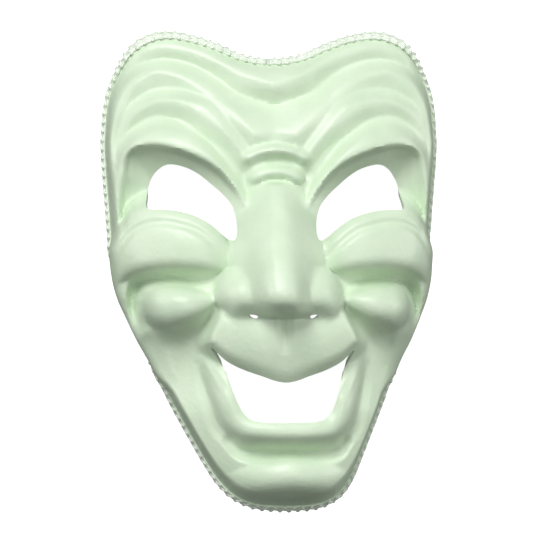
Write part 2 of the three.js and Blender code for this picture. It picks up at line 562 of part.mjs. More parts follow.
// The braid follows the wall's lowest facets, from one side of the seam round to the other.
function braidGeometry({ points, walls }) {
  const rim = walls.at(-1).map((corner) => points[corner]);
  const above = walls.at(-2).map((corner) => points[corner]);
  const count = rim.length;
  const sections = rim.map((foot, s) => {
    const up = above[s].clone().sub(foot).normalize();
    const along = rim[(s + 1) % count].clone().sub(rim.at(s - 1));
    const out = along.cross(up).normalize();
    return { foot, up, out };
  });
  const seamAt = placed(SEAM_X, 0, 0).x;
  const start = sections.findIndex(({ foot }, s) => {
    const next = sections[(s + 1) % count].foot;
    return foot.y > 0 && foot.x > seamAt && next.x <= seamAt;
  });
  const between = (x) => {
    const a = sections[start];
    const b = sections[(start + 1) % count];
    const t = (x - a.foot.x) / (b.foot.x - a.foot.x);
    const blend = (key) => a[key].clone().lerp(b[key], t);
    return { foot: blend("foot"), up: blend("up").normalize(), out: blend("out").normalize() };
  };
  const run = [between(seamAt - SEAM_GAP / 2)];
  for (let k = 1; k <= count; k++) run.push(sections[(start + k) % count]);
  run.push(between(seamAt + SEAM_GAP / 2));
  const profile = [[0, 0], [BRAID_WIDTH, 0], [BRAID_WIDTH, BRAID_EDGE],
    [BRAID_WIDTH / 2, BRAID_THICKNESS], [0, BRAID_EDGE]];
  const corners = [];
  const faces = [];
  run.forEach(({ foot, up, out }, k) => {
    profile.forEach(([rise, stand], side) => {
      const corner = foot.clone().addScaledVector(up, BRAID_LIFT + rise);
      corners.push(corner.addScaledVector(out, GLUE_GAP + stand));
      if (k === 0) return;
      const a = (k - 1) * profile.length + side;
      const b = (k - 1) * profile.length + (side + 1) % profile.length;
      const [c, d] = [b + profile.length, a + profile.length];
      faces.push([a, b, c], [a, c, d]);
    });
  });
  const end = (run.length - 1) * profile.length;
  for (let side = 1; side < profile.length - 1; side++) {
    faces.push([0, side + 1, side]);
    faces.push([end, end + side, end + side + 1]);
  }
  return geometryOf(corners, faces);
}

const wasm = await Module();
wasm.setup();

function solidOf(geometry) {
  const bare = geometry.clone();
  bare.deleteAttribute("normal");
  bare.deleteAttribute("uv");
  const merged = mergeVertices(bare, 1e-5);
  const vertProperties = new Float32Array(merged.attributes.position.array);
  const triVerts = new Uint32Array(merged.index.array);
  return new wasm.Manifold(new wasm.Mesh({ numProp: 3, vertProperties, triVerts }));
}

function geometryFromSolid(solid) {
  const { vertProperties, triVerts } = solid.getMesh();
  const geometry = new THREE.BufferGeometry();
  geometry.setAttribute("position", new THREE.BufferAttribute(new Float32Array(vertProperties), 3));
  geometry.setIndex(new THREE.BufferAttribute(new Uint32Array(triVerts), 1));
  return geometry;
}

const mouth = [...MOUTH_HALF, ...mirror(MOUTH_HALF.slice(1, -1)).reverse()];
const openings = [
  cutter(EYE_HOLE),
  cutter(mirror(EYE_HOLE)),
  cutter(NOSTRIL),
  cutter(mirror(NOSTRIL)),
  cutter(mouth),
];

const skin = outerSkin();
const shellSolid = openings.reduce((solid, hole) => solid.subtract(solidOf(hole)),
  solidOf(closedShell(skin)));

// The origin is the middle of the mask's box, on the surface that it lies on.
const face = new THREE.Group();

const shell = new THREE.Mesh(
  geometryFromSolid(shellSolid),
  new THREE.MeshStandardMaterial({ color: 0xdfe8db, roughness: 0.42, metalness: 0 }),
);
shell.name = "mask_shell";
face.add(shell);

const braid = new THREE.Mesh(
  braidGeometry(skin),
  new THREE.MeshStandardMaterial({ color: 0xe2e9df, roughness: 0.8, metalness: 0 }),
);
braid.name = "edge_braid";
face.add(braid);

const box = new THREE.Box3().setFromObject(face);
const middle = box.getCenter(new THREE.Vector3());
face.position.set(-middle.x, -middle.y, -box.min.z);

const mask = new THREE.Group();
mask.add(face);

export default mask;
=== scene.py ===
import math

import bmesh
import bpy
import numpy as np
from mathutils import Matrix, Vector


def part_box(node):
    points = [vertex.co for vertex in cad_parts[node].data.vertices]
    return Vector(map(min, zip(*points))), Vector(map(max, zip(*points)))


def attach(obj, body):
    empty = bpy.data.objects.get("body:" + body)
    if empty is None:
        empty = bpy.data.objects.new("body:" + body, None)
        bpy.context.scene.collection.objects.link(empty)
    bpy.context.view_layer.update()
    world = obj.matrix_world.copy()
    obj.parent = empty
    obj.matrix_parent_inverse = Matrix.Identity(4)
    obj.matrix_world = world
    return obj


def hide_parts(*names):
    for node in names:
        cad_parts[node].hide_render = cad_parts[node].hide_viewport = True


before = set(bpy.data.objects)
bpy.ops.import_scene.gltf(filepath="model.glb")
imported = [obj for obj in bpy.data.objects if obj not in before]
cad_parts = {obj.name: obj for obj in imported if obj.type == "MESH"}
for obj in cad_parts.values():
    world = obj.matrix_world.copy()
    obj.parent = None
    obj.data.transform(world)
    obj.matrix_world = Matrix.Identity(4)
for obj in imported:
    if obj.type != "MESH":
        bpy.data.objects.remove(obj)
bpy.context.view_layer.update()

# The mask itself is one thin sheet of stiffened plastic, pressed hot over a carved form.
# The carving is drawn here in millimetres on the flat, forehead up: broad form, folds,
# nose, lips and chin are added up, and the sheet is the same thickness all over.
MILLIMETRE = 0.001
SHEET_THICKNESS = 1.6
FACE_COLUMNS = 150
FACE_ROWS = 208
WALL_STEPS = 9
CENTRE_CROWDING = 0.18
OUTLINE_STEPS = 12
CONTOUR_STEPS = 8
STROKE_STEPS = 5
TABLE_STEPS = 6

# The right half of the outline, from the middle of the chin up to the middle of the crown.
OUTLINE = [(0, -115.2), (15, -113.8), (25, -109), (31.7, -101.9), (38.1, -90.4), (49.3, -67.6),
           (59.7, -44.7), (65.7, -33.3), (70.7, -22), (74.6, -12), (76.8, 0), (78, 24), (80.3, 54),
           (80.3, 66), (79, 80.5), (75.4, 92.3), (70.2, 103.5), (64, 110.2), (56, 113.8),
           (46.9, 114.6), (35.5, 112.4), (24, 108.3), (12.4, 103.2), (0, 101.8)]
CHIN_CORNER = -105
CROWN_CORNER = 106
CHIN_SWAY = {"most": 7.5, "below": 20, "reach": 130, "power": 1.6}

# A table holds a height y and a value there: here the features' lean and the broad form.
LEAN = [(-118, 1), (-95, 2.2), (-75, 2.4), (-45, 2.6), (-21, 2.6), (-10, 1.3), (12, 1.2), (30, 1.4),
        (45, 1.2), (60, 0.9), (80, 0.8), (100, 0), (118, 0)]

MIDDLE_LINE = [(-118, 12), (-113, 20), (-109, 29), (-105, 36), (-98, 39), (-82, 41), (-70, 43.5),
               (-60, 45.5), (-40, 47.5), (-20, 46.5), (0, 45), (20, 43.5), (40, 43.5), (60, 44.5),
               (75, 43), (84, 39), (91, 35), (98, 32), (106, 29), (118, 25)]
SHOULDER = [(-118, 12), (-108, 20), (-95, 26), (-75, 26), (-55, 22), (-30, 23), (-10, 24), (20, 24),
            (50, 24), (80, 23), (100, 21), (118, 19)]
HALF_WIDTH = [(-120, 24), (-100, 34), (-80, 44), (-50, 57), (-20, 71), (10, 78), (60, 80.5),
              (120, 80.5)]
CROWN_POWER = 2.4
LEAN_POWER = 6
MIDDLE_ROUNDING = 0.8
SHARE_LIMIT = 1.15
SOFT_JOIN = 1.5
OUTER_FALL = 2
LEAST_WIDTH = 0.1

# Folds hold x, y, the half widths on the left and right of their way, and a height.
FOREHEAD_CREASES = [
    [(-8, 79.3, 10, 18, -10), (0, 78.6, 10, 18, -11), (16.7, 84, 9.5, 14, -8.6),
     (26.2, 91, 9, 11, -7.4), (35.8, 96.8, 8.6, 9.5, -6.6), (45.3, 99.8, 8.6, 8.5, -6.2),
     (54.8, 100, 9.5, 6.5, -6), (61.9, 97.4, 9.5, 6.5, -6), (68.1, 92.4, 9, 6, -5),
     (72.4, 83.8, 7, 5, -3.8), (75, 73, 5, 4, -2.6), (75.5, 58, 4, 4, -2),
     (75.5, 40, 4, 4, -1.6), (75, 24, 3, 3, 0)],
    [(-9, 59.6, 6, 4, -3), (0, 60.8, 6, 4, -3), (8, 58.8, 6, 4, -3), (12, 57, 6, 4, -3.2),
     (15.6, 62, 6, 5, -3.2), (21.8, 70.3, 6, 5, -2.8), (27.9, 77.4, 6, 5, -2.8),
     (33.6, 82, 6.5, 5, -3.2), (43.1, 85.4, 8, 5.5, -4.4), (50.2, 86, 9, 6, -5.4),
     (57.4, 85, 9.5, 6, -5), (64.6, 80.9, 9, 6, -5), (69.3, 75.7, 7, 5, -4),
     (72.5, 68, 5, 4, -2.6), (73.6, 58, 4, 3, -1.4), (73.6, 42, 4, 3, 0)],
    [(12, 31, 6, 4, -2), (12.9, 33.8, 8, 4, -4.8), (15.4, 38.5, 9, 4.5, -6.6),
     (22.5, 49.5, 10, 4.5, -6.8), (29.2, 58, 9.5, 4.5, -6.4), (36.4, 65, 8, 5, -5.4),
     (43.5, 70.2, 8, 5.5, -5), (50.6, 72.6, 9, 6, -4.6), (57.8, 72.2, 9.5, 6, -5),
     (64.9, 68.3, 9, 6, -5), (69.7, 62.2, 7, 5, -4), (72, 55, 5, 4, -2), (72.4, 45, 4, 3, 0)],
]
CREASE_ROUNDING = 0.9
CREASE_POWER = 1.5
BROW = [(14.2, 30, 3, 2, 1), (16.6, 36, 5, 2.5, 2.5), (20.6, 41.6, 7, 3, 4),
        (27, 48.2, 9, 3, 5), (34.2, 53, 10, 3, 5.5), (43.7, 57, 11, 3, 6), (51, 59, 11, 3, 6),
        (58, 59.9, 10, 3, 5.5), (65.1, 59, 8, 3, 4.5), (69.6, 55.8, 5, 3, 3), (71, 49, 4, 3, 1.5),
        (70, 38.6, 4, 3, 0.5), (67.8, 29.5, 4, 3, 0)]
SOCKET_EDGE = [(14.2, 30), (16.6, 36), (20.6, 41.6), (27, 48.2), (34.2, 53), (43.7, 57), (51, 59),
               (58, 59.9), (65.1, 59), (69.6, 55.8), (72.5, 51), (74.5, 46)]
# This table goes by x, as both tables of the nose's underside do.
SOCKET_DEPTH = [(13, 0), (17, 5), (21, 8), (27, 10.5), (34, 12.5), (45, 14), (54, 14), (61, 13),
                (66, 12), (70, 9), (73.5, 0), (80, 0)]
SOCKET_FALL = {"width": 26, "steep": 0.65, "power": 2.5, "even": 0.45, "from": 8, "full": 28}
BETWEEN_THE_BROWS = [(-8, 50.5, 9, 9, -2.5), (0, 50.8, 9.5, 9.5, -2.5), (8, 49.8, 9, 9, -2.5),
                     (13, 46.5, 6, 6, -2)]
BROW_ROLLS = [
    [(-9, 55.5, 3.6, 3.2, 3.8), (0, 56.6, 3.6, 3.2, 3.8), (9, 55.4, 3.6, 3.2, 3.8),
     (13, 52.8, 3.2, 3, 3)],
    [(-7, 46.1, 3.8, 3.6, 4.2), (0, 47, 3.8, 3.6, 4.2), (7, 46, 3.8, 3.6, 4.2),
     (10.5, 43.8, 3.4, 3.2, 3.4)],
]

PAD_HOLLOW = [(28, -4, 3, 3, -2), (36, -4, 5, 5, -5), (44, -3.4, 6, 6, -6.5),
              (52, -2.8, 6, 6, -7.5), (60, -3.6, 6, 7, -8.5), (65, -7.6, 5, 7, -9),
              (66.4, -14.5, 4.5, 7, -9), (65.6, -21, 4.5, 7, -8.5), (63.4, -28, 5, 7, -7),
              (61, -35, 5, 6.5, -5.5), (57, -46, 5, 6, -2.5), (52, -57, 5, 5, 0)]
UNDER_APPLE = [(63, -30, 7, 7, 0), (58, -34, 16, 12, -4), (52, -36, 30, 14, -7.5),
               (44, -36, 34, 15, -8), (37.5, -32, 24, 12, -7), (32, -26, 10, 9, -6.5)]
SMILE_FOLD = [(50, -5, 2.5, 2.5, 0.5), (57, -6.6, 3, 3, 2.4), (62.3, -11.4, 3.4, 3.4, 4),
              (64.2, -18, 3.6, 3.6, 4.6), (63.4, -25, 4, 4, 4.2), (60.6, -33, 4.5, 4.5, 2.8),
              (57, -42, 5, 5, 1.4), (51.5, -54, 5, 5, 0)]
CHEEK_PAD = [(21, 3.5, 3.5, 3.5, 1.5), (25.5, 5, 10, 6, 5.5), (31, 6.2, 15, 7.5, 8.5),
             (39, 7.2, 20, 7.8, 10.5), (50, 8, 23, 8.2, 11.5), (60, 7.4, 24, 8.4, 11.5),
             (66, 6, 18, 8, 10.5), (72, 4, 14, 8, 7), (78, 1.5, 9, 9, 2)]
EYELID = [(24, 7.5, 2.5, 2.5, -0.6), (30, 13, 2.5, 2.5, -1.2), (37, 18.5, 2.5, 2.5, -1.4),
          (43.3, 21, 2.5, 2.5, -1.4), (52, 22.8, 2.5, 2.5, -1.4), (60, 22.3, 2.5, 2.5, -1.4),
          (66, 19.5, 2.5, 2.5, -1.6), (70.5, 14.7, 2.5, 2.5, -1.6), (74, 8, 2.5, 2.5, -1.4),
          (77, 0, 2.5, 2.5, -0.8)]
CHEEK_APPLE = [(31.5, -13.4, 3, 3, 4), (36, -14.2, 5.6, 5.6, 7.5), (42, -15.4, 8.6, 8.6, 11),
               (48, -16.4, 10, 10, 13), (53, -17.2, 10.4, 10.4, 13)]
LIP_EDGE = [(28, -14, 3.2), (29.8, -18, 3.2), (32.4, -23.5, 3.2), (35.6, -30, 3.5),
            (36.6, -34, 4.5), (34.8, -36.8, 5.5), (28, -42.8, 6.5), (20, -47, 7.5),
            (10, -51, 8.5), (0, -53.6, 8.5), (-10, -51, 8.5)]
LIP_ROUNDING = 2.5
LIP_HEIGHT = [(-56, 2.5), (-46, 5), (-36, 7.8), (-28, 9), (-22, 8.4), (-17, 6), (-10, -6), (0, -30),
              (120, -60)]
PHILTRUM = [(0, -20, 5, 5, -2.5), (0, -30, 4.5, 4.5, -1.6), (0, -40, 4, 4, 0)]
LOWER_LIP = [(36.8, -39, 2.5, 2.5, 0.6), (34.6, -45, 5, 5.5, 2.8), (31.6, -53, 6, 7, 3.8),
             (29, -61, 6.5, 7.5, 4.4), (26, -69, 7, 8, 5), (20.5, -74.8, 6.5, 9, 5.8),
             (12, -76.3, 6, 9, 6.2), (0, -76.6, 6, 9, 6.2), (-12, -76.3, 6, 9, 6.2)]
ROUND_THE_LIP = [
    [(40, -44, 3, 3, -0.6), (38.5, -54, 4, 4, -1.2), (36, -64, 4.5, 4.5, -1.2),
     (32.5, -74, 5, 5, -1.4), (27, -80, 5, 5, -1.8)],
    [(27, -80.5, 5, 4, -2), (22, -84.5, 6, 4, -5.4), (12, -85.3, 6.5, 4, -7.2),
     (0, -85, 5.5, 4, -7.2), (-12, -85.3, 6.5, 4, -7.2)],
]
CHIN_BOSS = [(30, -101, 5, 5, 0), (25, -100, 6, 6, 1.2), (18, -99, 7, 8, 3.2),
             (9, -98, 8, 9.5, 4.9), (0, -97, 8.5, 10, 5.4), (-9, -98, 8, 9.5, 4.9)]

NOSE_RIDGE = [(-26, 58), (-21, 68), (-17, 76), (-13, 79.6), (-7, 79.3), (5, 73.5), (20, 64),
              (32, 55.5), (38, 51.5), (43, 47)]
NOSE_ROUND = [(-26, 10), (-12, 9), (-4, 8), (5, 7.5), (15, 7), (25, 5.5), (43, 4.5)]
NOSE_SLOPE = [(-26, 2.6), (-12, 2.8), (-4, 2.3), (5, 1.8), (14, 1.6), (28, 1.5), (43, 1.4)]
NOSE_ROOT = {"y": 40, "fall": 2.2}
NOSTRIL_WING = {"x": 17.4, "y": -11.5, "half_width": 13.4, "half_height": 14, "swell": 18,
                "power": 0.55, "fall": 20}
NOSE_UNDERSIDE = {"z": 55,
                  "edge": [(0, -22.4), (6, -22.2), (10.5, -21.5), (16, -22), (28, -21.6),
                           (40, -21)],
                  "slope": [(0, 6), (7, 5), (12, 2.4), (16, 1.4), (28, 1.2), (40, 1.2)]}
NOSE_JOINS = {"wing": 5, "underside": 2, "face": 2.5}

# Each opening is a closed line of x and y on the right half; of the mouth, this is one half.
EYE_HOLE = [(49.5, 50.3), (54.5, 48), (58, 43.2), (59.8, 36.5), (60.5, 29.5), (54, 28.9),
            (47.5, 28.3), (40, 26.5), (34.5, 24), (30, 21), (26.5, 18), (23.3, 15.3), (20.3, 14.3),
            (18.9, 17), (18.7, 22), (19.4, 26.5), (21, 31), (25, 36), (30.5, 41), (36, 45.5),
            (42, 48.7)]
NOSTRIL = [(11.3, -21.6), (13, -20.7), (15.4, -20.4), (16.4, -21), (15.2, -22), (12.6, -22.4)]
MOUTH_HALF = [(0, -52.4), (5, -51.6), (10, -49.8), (20, -46.2), (27.7, -42), (34.6, -35.2),
              (31.8, -40.5), (28.6, -45.6), (26.3, -52), (23.6, -60.5), (20.8, -66.4),
              (17.6, -69.6), (13, -71), (6, -71.3), (0, -71.4)]

# The wall round the face, by height: its run outwards, the height of its rim, and the
# angle through which it turns down on the way.
WALL_RUN = [(-118, 9), (-106, 7), (-90, 3.6), (-60, 3), (-40, 4), (-10, 4.6), (20, 4.2),
            (60, 3.4), (85, 6), (100, 10), (118, 12)]
RIM_HEIGHT = [(-118, 12), (-108, 11), (-90, 4), (-70, 0.5), (-52, 0), (58, 0), (80, 1.5), (92, 5),
              (102, 11), (110, 15), (118, 17)]
RIM_ANGLE = [(-118, 35), (-100, 45), (-80, 65), (-60, 80), (0, 88), (60, 84), (85, 60), (100, 40),
             (118, 30)]
NOTCH = {"lift": 12, "width": 26, "from": 60, "full": 100}
CHEEK_OVERHANG = [(-60, 0), (-48, 2.5), (-30, 5), (-4, 5), (8, 2.5), (20, 0)]
CHEEK_WALL = {"full": 2.5, "turn": 1.6, "tucks_from": 0.45}
BRAID_ROOM = 2.0


def mix(a, b, t):
    return a + (b - a) * t


def smooth_max(a, b, k):
    return 0.5 * (a + b + np.hypot(a - b, k))


def smooth_min(a, b, k):
    return 0.5 * (a + b - np.hypot(a - b, k))


def smooth_step(start, end, value):
    t = np.clip((value - start) / (end - start), 0, 1)
    return t * t * (3 - 2 * t)


def bell(u, power):
    return np.clip(1 - u * u, 0, None) ** power


def spline(points, steps, closed=False):
    """A Catmull-Rom spline through points of any number of values."""
    points = np.array(points, float)
    count = len(points)
    before = np.roll(points, 1, axis=0)
    after = np.roll(points, -1, axis=0)
    beyond = np.roll(points, -2, axis=0)
    if not closed:
        before[0] = 2 * points[0] - points[1]
        beyond[count - 2] = 2 * points[count - 1] - points[count - 2]
    line = []
    for i in range(count if closed else count - 1):
        p0, p1, p2, p3 = before[i], points[i], after[i], beyond[i]
        for t in np.arange(steps) / steps:
            line.append(0.5 * (2 * p1 + (p2 - p0) * t + (2 * p0 - 5 * p1 + 4 * p2 - p3) * t ** 2
                               + (3 * p1 - p0 - 3 * p2 + p3) * t ** 3))
    if not closed:
        line.append(points[-1])
    return np.array(line)


def reading_of(table):
    """A function that reads values off the smooth curve through a table."""
    line = spline(table, TABLE_STEPS)
    return lambda place: np.interp(place, line[:, 0], line[:, 1])


def nearest_on(line, x, y):
    """Distance to a line of points, the side of it, and its other values at the nearest place."""
    best = np.full(x.shape, np.inf)
    left = np.zeros(x.shape, bool)
    values = np.zeros((line.shape[1],) + x.shape)
    for start, end in zip(line[:-1], line[1:]):
        run = end[:2] - start[:2]
        along = ((x - start[0]) * run[0] + (y - start[1]) * run[1]) / (run @ run)
        t = np.clip(along, 0, 1)
        distance = np.hypot(x - start[0] - t * run[0], y - start[1] - t * run[1])
        nearer = distance < best
        best = np.where(nearer, distance, best)
        left = np.where(nearer, run[0] * (y - start[1]) > run[1] * (x - start[0]), left)
        for k in range(line.shape[1]):
            values[k] = np.where(nearer, mix(start[k], end[k], t), values[k])
    return best, left, values


def stroke(points, x, y):
    """Distance to a fold's line at each place, with its half width and height there."""
    distance, left, values = nearest_on(spline(points, STROKE_STEPS), x, y)
    return distance, np.maximum(np.where(left, values[2], values[3]), LEAST_WIDTH), values[4]


def fold(points, x, y, power=2.0):
    """Relief that fades to nothing on both sides of a stroke; a hollow has a negative height."""
    distance, width, height = stroke(points, x, y)
    return height * bell(distance / width, power)


def mound(points, x, y, flatness, power):
    """A swelling over a stroke, which dives under the face beyond its edge."""
    distance, width, height = stroke(points, x, y)
    swelling = height * np.clip(1 - (distance / width) ** flatness, 0, None) ** power
    return np.where(distance < width, swelling, OUTER_FALL * (width - distance))


def crease(points, x, y):
    """A sharp fold, deepest on the stroke itself."""
    distance, width, height = stroke(points, x, y)
    share = np.minimum(np.hypot(distance, CREASE_ROUNDING) / width, 1)
    return height * (1 - share) ** CREASE_POWER


def socket(x, y):
    """The hollow that opens under the brow, steepest along its edge."""
    distance, left, _ = nearest_on(spline(SOCKET_EDGE, STROKE_STEPS), x, y)
    share = np.where(left, 0, np.minimum(distance / SOCKET_FALL["width"], 1))
    steep = SOCKET_FALL["steep"] * (1 - (1 - share) ** SOCKET_FALL["power"])
    fall = steep + SOCKET_FALL["even"] * share
    return -socket_depth(x) * fall * smooth_step(SOCKET_FALL["from"], SOCKET_FALL["full"], y)


def upper_lip(x, y):
    """The lip rises from its edge, and dives under the face outside it."""
    distance, outside, values = nearest_on(spline(LIP_EDGE, STROKE_STEPS), x, y)
    share = np.minimum(distance / values[2], 1)
    height = np.minimum(lip_height(y), lip_height(y) * (1 - (1 - share) ** LIP_ROUNDING))
    return np.where(outside, -OUTER_FALL * distance, height)


lean = reading_of(LEAN)
middle_line = reading_of(MIDDLE_LINE)
shoulder = reading_of(SHOULDER)
half_width = reading_of(HALF_WIDTH)
socket_depth = reading_of(SOCKET_DEPTH)
lip_height = reading_of(LIP_HEIGHT)
nose_ridge = reading_of(NOSE_RIDGE)
nose_round = reading_of(NOSE_ROUND)
nose_slope = reading_of(NOSE_SLOPE)
nose_edge = reading_of(NOSE_UNDERSIDE["edge"])
nose_undercut = reading_of(NOSE_UNDERSIDE["slope"])


def leaning(x, y):
    """How far the features stand to the right of the outline's middle."""
    return lean(y) * (1 - np.minimum(np.abs(x) / half_width(y), 1) ** LEAN_POWER)


def nose_height(x, y, base, dome):
    """The nose and its wings, standing on the face."""
    turn = nose_round(y)
    root = np.maximum(y - NOSE_ROOT["y"], 0) * NOSE_ROOT["fall"]
    side = nose_ridge(y) - nose_slope(y) * ((x ** 3 + turn ** 3) ** (1 / 3) - turn) - root
    reach = np.hypot((x - NOSTRIL_WING["x"]) / NOSTRIL_WING["half_width"],
                     (y - NOSTRIL_WING["y"]) / NOSTRIL_WING["half_height"])
    swelling = NOSTRIL_WING["swell"] * bell(reach, NOSTRIL_WING["power"])
    wing = dome + np.where(reach < 1, swelling, NOSTRIL_WING["fall"] * (1 - reach))
    under = NOSE_UNDERSIDE["z"] + (y - nose_edge(x)) * nose_undercut(x)
    nose = smooth_max(side, wing, NOSE_JOINS["wing"])
    nose = smooth_min(nose, under, NOSE_JOINS["underside"])
    return smooth_max(base, nose, NOSE_JOINS["face"])


def face_height(signed_x, y):
    """Height of the carved face at places on the flat."""
    x = np.hypot(signed_x - leaning(signed_x, y), MIDDLE_ROUNDING)
    share = np.minimum(x / half_width(y), SHARE_LIMIT)
    dome = mix(middle_line(y), shoulder(y), share ** CROWN_POWER)
    z = dome + socket(x, y) + fold(BROW, x, y, power=1.5)
    for line in FOREHEAD_CREASES:
        z = z + crease(line, x, y)
    z = z + fold(BETWEEN_THE_BROWS, x, y)
    for roll in BROW_ROLLS:
        z = z + fold(roll, x, y, power=1)
    z = z + fold(PAD_HOLLOW, x, y) + fold(UNDER_APPLE, x, y) + fold(SMILE_FOLD, x, y)
    z = smooth_max(z, dome + upper_lip(x, y), SOFT_JOIN) + fold(PHILTRUM, x, y)
    z = nose_height(x, y, z, dome)
    z = smooth_max(z, dome + mound(CHEEK_PAD, x, y, flatness=2.5, power=0.55), SOFT_JOIN)
    z = z + fold(EYELID, x, y)
    z = smooth_max(z, dome + mound(CHEEK_APPLE, x, y, flatness=2.3, power=0.6), SOFT_JOIN)
    z = z + fold(LOWER_LIP, x, y, power=1.3)
    for line in ROUND_THE_LIP:
        z = z + fold(line, x, y)
    return z + fold(CHIN_BOSS, x, y, power=1)


def swayed(points):
    """Swings the chin to one side."""
    points = np.array(points, float)
    down = np.maximum(CHIN_SWAY["below"] - points[..., 1], 0) / CHIN_SWAY["reach"]
    points[..., 0] += CHIN_SWAY["most"] * down ** CHIN_SWAY["power"]
    return points


def column_share(u):
    return u + CENTRE_CROWDING * np.sin(2 * np.pi * u) / (2 * np.pi)


def mirrored(contour):
    return [(-x, y) for x, y in contour]


def outline_stations():
    """Places round the outline with their outward directions: chin, right side, crown, left side."""
    past_the_middle = mirrored([OUTLINE[1], OUTLINE[-2]])
    line = spline(past_the_middle[:1] + OUTLINE + past_the_middle[1:], OUTLINE_STEPS)
    ahead = np.gradient(line, axis=0)
    ahead /= np.linalg.norm(ahead, axis=1)[:, None]
    places = np.column_stack([line, ahead[:, 1], -ahead[:, 0]])[OUTLINE_STEPS:-OUTLINE_STEPS]
    line = places[:, :2]
    length = np.append(0, np.cumsum(np.linalg.norm(np.diff(line, axis=0), axis=1)))
    side = slice(0, int(np.argmax(line[:, 1] > CROWN_CORNER)) + 1)
    corner = [np.interp(y, line[side, 1], length[side]) for y in (CHIN_CORNER, CROWN_CORNER)]
    rows = np.linspace(CHIN_CORNER, CROWN_CORNER, FACE_ROWS + 1)
    across = 2 * column_share(np.arange(FACE_COLUMNS + 1) / FACE_COLUMNS) - 1

    def at(lengths):
        return np.column_stack([np.interp(lengths, length, column) for column in places.T])

    def with_signs(half, signs):
        half[:, [0, 2]] *= np.where(signs < 0, -1, 1)[:, None]
        half[np.isclose(signs, 0), 0] = 0
        return half

    right = at(np.interp(rows, line[side, 1], length[side]))
    left = right * (-1, 1, -1, 1)
    chin = with_signs(at(np.abs(across) * corner[0]), across)
    crown = with_signs(at(length[-1] - np.abs(across) * (length[-1] - corner[1])), across)
    return np.concatenate([chin[:-1], right[:-1], crown[:0:-1], left[:0:-1]])


wall_run = reading_of(WALL_RUN)
rim_height = reading_of(RIM_HEIGHT)
rim_angle = reading_of(RIM_ANGLE)
cheek_overhang = reading_of(CHEEK_OVERHANG)


def wall_places(stations, share):
    """Places on the wall: share 0 is the edge of the face, share 1 the rim."""
    x, y, out_x, out_y = stations.T
    angle = np.radians(rim_angle(y))
    turn = angle * share
    hang = cheek_overhang(y)
    tucked = 1 - smooth_step(0, CHEEK_WALL["full"], hang)
    swelling = np.sin(np.minimum(CHEEK_WALL["turn"] * turn, np.pi / 2))
    reach = mix(swelling, np.sin(turn) / np.sin(angle), tucked)
    out = wall_run(y) * (reach - 1) - BRAID_ROOM * np.sin(angle) * tucked
    out -= hang * smooth_step(CHEEK_WALL["tucks_from"], 1, share)
    wall_x = x + out_x * out
    wall_y = y + out_y * out
    notch = NOTCH["lift"] * np.exp(-(x / NOTCH["width"]) ** 2)
    rim = np.maximum(rim_height(y), 0) + notch * smooth_step(NOTCH["from"], NOTCH["full"], y)
    drop = (np.cos(turn) - np.cos(angle)) / (1 - np.cos(angle))
    return np.column_stack([wall_x, wall_y, mix(rim, face_height(wall_x, wall_y), drop)])


def inside_line(line, x, y):
    """Whether places lie inside a closed line."""
    low, high = line[:-1], line[1:]
    crossed = (low[:, 1] > y[:, None]) != (high[:, 1] > y[:, None])
    rise = np.where(high[:, 1] == low[:, 1], 1, high[:, 1] - low[:, 1])
    meets = low[:, 0] + (y[:, None] - low[:, 1]) * (high[:, 0] - low[:, 0]) / rise
    return (crossed & (x[:, None] < meets)).sum(axis=1) % 2 == 1


def cut_opening(bm, contour):
    """Lays the grid's nearest corners on the contour and takes out the faces inside it."""
    line = spline(contour, CONTOUR_STEPS, closed=True)
    line = np.append(line, line[:1], axis=0)
    line[:, 0] += leaning(*line.T)
    verts = list(bm.verts)
    bm.verts.index_update()
    x, y = np.array([vert.co.xy for vert in verts]).T
    inside = inside_line(line, x, y)
    distance, _, nearest = nearest_on(line, x, y)
    state = np.where(inside, -1, 1)
    for edge in bm.edges:
        a, b = (vert.index for vert in edge.verts)
        if inside[a] != inside[b]:
            state[a if distance[a] < distance[b] else b] = 0
    for index in np.flatnonzero(state == 0):
        verts[index].co.x, verts[index].co.y = nearest[:, index]
    level = dict(zip(verts, state))
    for face in list(bm.faces):
        levels = [level[vert] for vert in face.verts]
        if min(levels) < 0 < max(levels):
            bmesh.ops.connect_verts(bm, verts=[vert for vert in face.verts if level[vert] == 0])
    on_line = [face for face in bm.faces if not any(level[vert] for vert in face.verts)]
    centres = np.array([face.calc_center_median().xy for face in on_line]).reshape(-1, 2)
    gone = [face for face, out in zip(on_line, inside_line(line, *centres.T)) if out]
    gone += [face for face in bm.faces if min(level[vert] for vert in face.verts) < 0]
    bmesh.ops.delete(bm, geom=gone, context="FACES")


stations = outline_stations()
face_edge = wall_places(stations, 0)[:, :2]
chin_edge = face_edge[:FACE_COLUMNS + 1]
right_edge = face_edge[FACE_COLUMNS:FACE_COLUMNS + FACE_ROWS + 1]
crown_edge = face_edge[FACE_COLUMNS + FACE_ROWS:2 * FACE_COLUMNS + FACE_ROWS + 1][::-1]
left_edge = np.append(face_edge[2 * FACE_COLUMNS + FACE_ROWS:], face_edge[:1], axis=0)[::-1]

